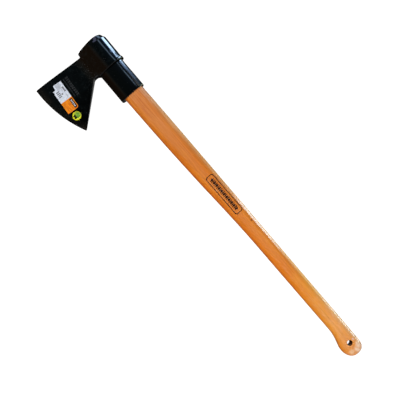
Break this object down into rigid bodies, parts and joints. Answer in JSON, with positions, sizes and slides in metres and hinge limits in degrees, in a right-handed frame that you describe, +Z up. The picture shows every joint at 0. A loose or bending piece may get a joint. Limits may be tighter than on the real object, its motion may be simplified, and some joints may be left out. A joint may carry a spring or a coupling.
{
  "type": "felling axe",
  "caption": "Felling axe with a painted steel head, wedged hardwood handle, black overstrike collar and a hanging hole through the flared knob.",
  "frame": {"origin": "centre of the bottom of the axe lying on its side, in the plane under the lower cheek of the eye barrel", "axes": "+X along the handle from the head to the knob, +Y from the cutting edge to the poll, +Z up, square to the blade's cheeks, on the side that carries the label"},
  "size_m": [0.9, 0.1938, 0.054],
  "materials": {
    "head_paint": "gloss black paint over forged steel",
    "handle_wood": "orange-tinted clear lacquer",
    "wedge_wood": "bare end grain",
    "wedge_steel": "bare",
    "collar_black": "gloss",
    "label_paper": "matt printed",
    "sticker_paper": "matt printed"
  },
  "bodies": {
    "root": {"axe_head": "head_paint", "handle": "handle_wood", "eye_wedge": "wedge_wood", "steel_wedge": "wedge_steel", "collar": "collar_black", "product_label": "label_paper", "round_sticker": "sticker_paper"}
  },
  "joints": []
}
